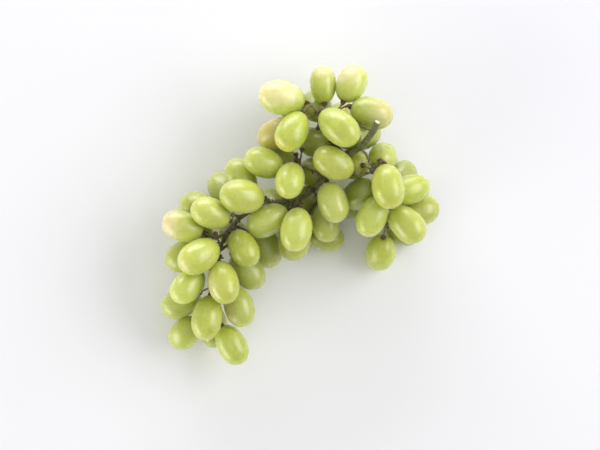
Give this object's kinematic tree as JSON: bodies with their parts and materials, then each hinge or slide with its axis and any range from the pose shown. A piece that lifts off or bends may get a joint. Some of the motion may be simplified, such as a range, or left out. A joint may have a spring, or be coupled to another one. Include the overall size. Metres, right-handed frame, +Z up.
{
  "type": "bunch of grapes",
  "caption": "Picked bunch of oval white table grapes on a branching woody stem, lying on its side with its cut stalk up.",
  "frame": {"origin": "on the surface that the bunch lies on, under the middle of its outline", "axes": "+Z up from that surface; +Y along the bunch's long way, from its tail towards its stalk; +X to the right of that, seen from above"},
  "size_m": [0.1758, 0.1884, 0.0728],
  "materials": {
    "grape_skin": "translucent yellow-green grape skin with a soft gloss and a thin bloom",
    "stem": "matt olive-grey to brown fresh stem, darker at the pedicels"
  },
  "bodies": {
    "root": {"stem": "stem", "grape_01": "grape_skin", "grape_02": "grape_skin", "grape_03": "grape_skin", "grape_04": "grape_skin", "grape_05": "grape_skin", "grape_06": "grape_skin", "grape_07": "grape_skin", "grape_08": "grape_skin", "grape_09": "grape_skin", "grape_10": "grape_skin", "grape_11": "grape_skin", "grape_12": "grape_skin", "grape_13": "grape_skin", "grape_14": "grape_skin", "grape_15": "grape_skin", "grape_16": "grape_skin", "grape_17": "grape_skin", "grape_18": "grape_skin", "grape_19": "grape_skin", "grape_20": "grape_skin", "grape_21": "grape_skin", "grape_22": "grape_skin", "grape_23": "grape_skin", "grape_24": "grape_skin", "grape_25": "grape_skin", "grape_26": "grape_skin", "grape_27": "grape_skin", "grape_28": "grape_skin", "grape_29": "grape_skin", "grape_30": "grape_skin", "grape_31": "grape_skin", "grape_32": "grape_skin", "grape_33": "grape_skin", "grape_34": "grape_skin", "grape_35": "grape_skin", "grape_36": "grape_skin", "grape_37": "grape_skin", "grape_38": "grape_skin", "grape_39": "grape_skin", "grape_40": "grape_skin", "grape_41": "grape_skin", "grape_42": "grape_skin", "grape_43": "grape_skin", "grape_44": "grape_skin", "grape_45": "grape_skin", "grape_46": "grape_skin", "grape_47": "grape_skin", "grape_48": "grape_skin", "grape_49": "grape_skin", "grape_50": "grape_skin", "grape_51": "grape_skin", "grape_52": "grape_skin", "grape_53": "grape_skin", "grape_54": "grape_skin", "grape_55": "grape_skin", "grape_56": "grape_skin", "grape_57": "grape_skin", "grape_58": "grape_skin", "grape_59": "grape_skin"}
  },
  "joints": []
}
